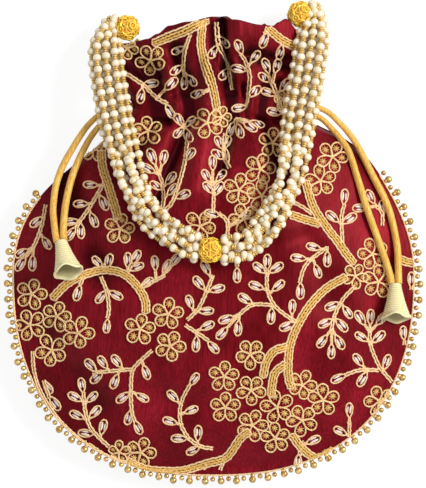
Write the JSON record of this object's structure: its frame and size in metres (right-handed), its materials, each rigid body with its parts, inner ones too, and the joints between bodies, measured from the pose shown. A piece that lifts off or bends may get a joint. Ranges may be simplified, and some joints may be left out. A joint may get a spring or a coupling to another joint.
{
  "type": "potli bag",
  "caption": "Round drawstring potli bag of maroon silk with gold vine embroidery, a beaded rim, bell-ended cord tails and a draped handle of pearl strands.",
  "frame": {"origin": "centre of the flat patch on which the back of the bag rests, below the widest line of the round pouch", "axes": "+Z out of the embroidered front, +Y from the pouch towards the mouth, +X to the right seen from the front"},
  "size_m": [0.2234, 0.2604, 0.0596],
  "materials": {
    "silk": "slubbed maroon silk with a soft sheen",
    "lining": "plain maroon lining cloth",
    "pearls": "ivory imitation pearls with small gold beads between",
    "filigree": "bright yellow openwork filigree",
    "gold_beads": "polished gold-coloured beads",
    "drawstring_cord": "gold satin tube cord",
    "bell_thread": "pale gold thread wound in ribs",
    "embroidery": "couched gold cord and metallic thread"
  },
  "bodies": {
    "bag": {"back_lining": "lining", "back_panel": "silk", "bell_left": "bell_thread", "bell_right": "bell_thread", "drawstring_left_back_tail": "drawstring_cord", "drawstring_left_channel_run": "drawstring_cord", "drawstring_left_front_tail": "drawstring_cord", "drawstring_right_back_tail": "drawstring_cord", "drawstring_right_channel_run": "drawstring_cord", "drawstring_right_front_tail": "drawstring_cord", "flower_01": "embroidery", "flower_02": "embroidery", "flower_03": "embroidery", "flower_04": "embroidery", "flower_05": "embroidery", "flower_06": "embroidery", "flower_07": "embroidery", "flower_08": "embroidery", "flower_09": "embroidery", "flower_10": "embroidery", "flower_11": "embroidery", "flower_12": "embroidery", "flower_13": "embroidery", "flower_14": "embroidery", "flower_15": "embroidery", "flower_16": "embroidery", "flower_17": "embroidery", "flower_18": "embroidery", "flower_19": "embroidery", "front_lining": "lining", "front_panel": "silk", "handle_tab_left": "drawstring_cord", "handle_tab_right": "drawstring_cord", "rim_bead_edging": "gold_beads", "stem_bottom": "embroidery", "stem_left_arch": "embroidery", "stem_left_shoulder": "embroidery", "stem_lower_branch": "embroidery", "stem_right_branch": "embroidery", "stem_right_shoulder": "embroidery", "stem_right_trunk": "embroidery"},
    "handle": {"end_ball_left": "filigree", "end_ball_right": "filigree", "middle_ball": "filigree", "strand_left_lower_1": "pearls", "strand_left_lower_2": "pearls", "strand_left_lower_3": "pearls", "strand_left_upper_1": "pearls", "strand_left_upper_2": "pearls", "strand_left_upper_3": "pearls", "strand_right_lower_1": "pearls", "strand_right_lower_2": "pearls", "strand_right_lower_3": "pearls", "strand_right_upper_1": "pearls", "strand_right_upper_2": "pearls", "strand_right_upper_3": "pearls"}
  },
  "joints": [
    {"name": "handle_swing", "type": "hinge", "parent": "bag", "child": "handle", "pos_m": [-0.047, 0.134, 0.016], "axis": [-0.9968, -0.0795, 0], "range_deg": [0, 160]}
  ]
}
